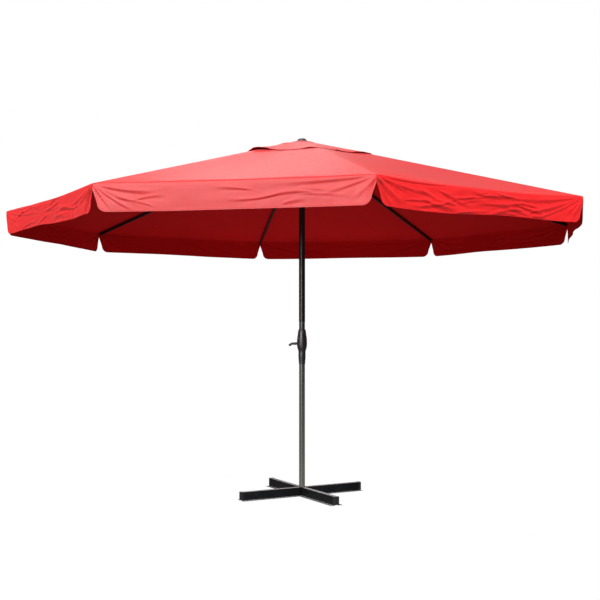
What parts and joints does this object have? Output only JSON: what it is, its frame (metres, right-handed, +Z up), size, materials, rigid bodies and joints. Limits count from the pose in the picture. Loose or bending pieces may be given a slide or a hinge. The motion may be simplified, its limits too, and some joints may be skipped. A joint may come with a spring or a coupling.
{
  "type": "patio umbrella with cross base",
  "caption": "Large octagonal market umbrella with vent flap, notched valance, crank housing on a two-part pole and a steel cross base that paving slabs hold down.",
  "frame": {"origin": "on the ground, on the pole's axis, in the middle of the cross base", "axes": "+Z up the pole; +X along rib 1, and the other ribs follow every 45 degrees; the base's arms are turned 18 degrees from the ribs; the crank is behind the pole, on the side at azimuth 79 degrees"},
  "size_m": [5, 5, 3.1206],
  "materials": {
    "upper_pole_paint": "satin",
    "lower_pole_paint": "satin",
    "base_paint": "satin",
    "frame_paint": "satin",
    "housing_plastic": "satin",
    "black_plastic": "matte",
    "steel": "satin",
    "brass": "satin",
    "finial_plastic": "gloss",
    "canopy_cloth": "matte"
  },
  "bodies": {
    "root": {"base_beam_lower": "base_paint", "base_beam_upper": "base_paint", "base_end_caps": "black_plastic", "base_plate": "base_paint", "centre_bolt": "steel", "pole_foot": "black_plastic", "lower_pole": "lower_pole_paint", "upper_pole": "upper_pole_paint", "crank_housing_left": "housing_plastic", "crank_housing_right": "housing_plastic", "housing_screws": "steel", "shaft_bushes": "brass", "hub": "black_plastic", "hub_pins": "steel", "cord_pulley": "black_plastic", "pulley_pin": "steel", "finial": "finial_plastic", "finial_washer": "black_plastic", "crown_patch": "canopy_cloth"},
    "rib_1": {"rib_1": "frame_paint", "rib_fittings_1": "black_plastic", "canopy_1": "canopy_cloth"},
    "rib_2": {"rib_2": "frame_paint", "rib_fittings_2": "black_plastic", "canopy_2": "canopy_cloth"},
    "rib_3": {"rib_3": "frame_paint", "rib_fittings_3": "black_plastic", "canopy_3": "canopy_cloth"},
    "rib_4": {"rib_4": "frame_paint", "rib_fittings_4": "black_plastic", "canopy_4": "canopy_cloth"},
    "rib_5": {"rib_5": "frame_paint", "rib_fittings_5": "black_plastic", "canopy_5": "canopy_cloth"},
    "rib_6": {"rib_6": "frame_paint", "rib_fittings_6": "black_plastic", "canopy_6": "canopy_cloth"},
    "rib_7": {"rib_7": "frame_paint", "rib_fittings_7": "black_plastic", "canopy_7": "canopy_cloth"},
    "rib_8": {"rib_8": "frame_paint", "rib_fittings_8": "black_plastic", "canopy_8": "canopy_cloth"},
    "strut_1": {"strut_1": "frame_paint"},
    "strut_2": {"strut_2": "frame_paint"},
    "strut_3": {"strut_3": "frame_paint"},
    "strut_4": {"strut_4": "frame_paint"},
    "strut_5": {"strut_5": "frame_paint"},
    "strut_6": {"strut_6": "frame_paint"},
    "strut_7": {"strut_7": "frame_paint"},
    "strut_8": {"strut_8": "frame_paint"},
    "runner": {"runner": "black_plastic", "runner_pins": "steel"},
    "crank": {"crank_shaft": "steel", "cord_spool": "black_plastic", "crank_arm": "black_plastic", "knob_pin": "steel"},
    "knob": {"crank_knob": "black_plastic"}
  },
  "joints": [
    {"name": "rib_1_fold", "type": "hinge", "parent": "root", "child": "rib_1", "pos_m": [0.07, 0, 3.06295], "axis": [0, 1, 0], "range_deg": [0, 68.28], "deforming": ["canopy_1"]},
    {"name": "rib_2_fold", "type": "hinge", "parent": "root", "child": "rib_2", "pos_m": [0.0495, 0.0495, 3.06295], "axis": [-0.7071, 0.7071, 0], "range_deg": [0, 68.28], "deforming": ["canopy_2"]},
    {"name": "rib_3_fold", "type": "hinge", "parent": "root", "child": "rib_3", "pos_m": [0, 0.07, 3.06295], "axis": [-1, 0, 0], "range_deg": [0, 68.28], "deforming": ["canopy_3"]},
    {"name": "rib_4_fold", "type": "hinge", "parent": "root", "child": "rib_4", "pos_m": [-0.0495, 0.0495, 3.06295], "axis": [-0.7071, -0.7071, 0], "range_deg": [0, 68.28], "deforming": ["canopy_4"]},
    {"name": "rib_5_fold", "type": "hinge", "parent": "root", "child": "rib_5", "pos_m": [-0.07, 0, 3.06295], "axis": [0, -1, 0], "range_deg": [0, 68.28], "deforming": ["canopy_5"]},
    {"name": "rib_6_fold", "type": "hinge", "parent": "root", "child": "rib_6", "pos_m": [-0.0495, -0.0495, 3.06295], "axis": [0.7071, -0.7071, 0], "range_deg": [0, 68.28], "deforming": ["canopy_6"]},
    {"name": "rib_7_fold", "type": "hinge", "parent": "root", "child": "rib_7", "pos_m": [0, -0.07, 3.06295], "axis": [1, 0, 0], "range_deg": [0, 68.28], "deforming": ["canopy_7"]},
    {"name": "rib_8_fold", "type": "hinge", "parent": "root", "child": "rib_8", "pos_m": [0.0495, -0.0495, 3.06295], "axis": [0.7071, 0.7071, 0], "range_deg": [0, 68.28], "deforming": ["canopy_8"]},
    {"name": "strut_1_swing", "type": "hinge", "parent": "rib_1", "child": "strut_1", "pos_m": [0.79491, 0, 2.83468], "axis": [0, 1, 0], "range_deg": [-136.57, 0]},
    {"name": "strut_2_swing", "type": "hinge", "parent": "rib_2", "child": "strut_2", "pos_m": [0.56209, 0.56209, 2.83468], "axis": [-0.7071, 0.7071, 0], "range_deg": [-136.57, 0]},
    {"name": "strut_3_swing", "type": "hinge", "parent": "rib_3", "child": "strut_3", "pos_m": [0, 0.79491, 2.83468], "axis": [-1, 0, 0], "range_deg": [-136.57, 0]},
    {"name": "strut_4_swing", "type": "hinge", "parent": "rib_4", "child": "strut_4", "pos_m": [-0.56209, 0.56209, 2.83468], "axis": [-0.7071, -0.7071, 0], "range_deg": [-136.57, 0]},
    {"name": "strut_5_swing", "type": "hinge", "parent": "rib_5", "child": "strut_5", "pos_m": [-0.79491, 0, 2.83468], "axis": [0, -1, 0], "range_deg": [-136.57, 0]},
    {"name": "strut_6_swing", "type": "hinge", "parent": "rib_6", "child": "strut_6", "pos_m": [-0.56209, -0.56209, 2.83468], "axis": [0.7071, -0.7071, 0], "range_deg": [-136.57, 0]},
    {"name": "strut_7_swing", "type": "hinge", "parent": "rib_7", "child": "strut_7", "pos_m": [0, -0.79491, 2.83468], "axis": [1, 0, 0], "range_deg": [-136.57, 0]},
    {"name": "strut_8_swing", "type": "hinge", "parent": "rib_8", "child": "strut_8", "pos_m": [0.56209, -0.56209, 2.83468], "axis": [0.7071, 0.7071, 0], "range_deg": [-136.57, 0]},
    {"name": "runner_slide", "type": "hinge", "parent": "strut_1", "child": "runner", "pos_m": [0.07, 0, 2.60642], "axis": [0, 1, 0], "range_deg": [0, 68.28]},
    {"name": "crank_turn", "type": "hinge", "parent": "root", "child": "crank", "pos_m": [0, 0, 1.318], "axis": [0.1908, 0.9816, 0], "range_deg": [-4047.3, 0]},
    {"name": "knob_spin", "type": "hinge", "parent": "crank", "child": "knob", "pos_m": [-0.10503, 0.02042, 1.304], "axis": [0.1908, 0.9816, 0], "continuous": true}
  ],
  "couplings": [
    {"joint": "rib_2_fold", "follows": "rib_1_fold", "ratio": 1},
    {"joint": "rib_3_fold", "follows": "rib_1_fold", "ratio": 1},
    {"joint": "rib_4_fold", "follows": "rib_1_fold", "ratio": 1},
    {"joint": "rib_5_fold", "follows": "rib_1_fold", "ratio": 1},
    {"joint": "rib_6_fold", "follows": "rib_1_fold", "ratio": 1},
    {"joint": "rib_7_fold", "follows": "rib_1_fold", "ratio": 1},
    {"joint": "rib_8_fold", "follows": "rib_1_fold", "ratio": 1},
    {"joint": "strut_1_swing", "follows": "rib_1_fold", "ratio": -2},
    {"joint": "strut_2_swing", "follows": "rib_1_fold", "ratio": -2},
    {"joint": "strut_3_swing", "follows": "rib_1_fold", "ratio": -2},
    {"joint": "strut_4_swing", "follows": "rib_1_fold", "ratio": -2},
    {"joint": "strut_5_swing", "follows": "rib_1_fold", "ratio": -2},
    {"joint": "strut_6_swing", "follows": "rib_1_fold", "ratio": -2},
    {"joint": "strut_7_swing", "follows": "rib_1_fold", "ratio": -2},
    {"joint": "strut_8_swing", "follows": "rib_1_fold", "ratio": -2},
    {"joint": "runner_slide", "follows": "rib_1_fold", "ratio": 1},
    {"joint": "crank_turn", "follows": "rib_1_fold", "ratio": -59.257}
  ]
}
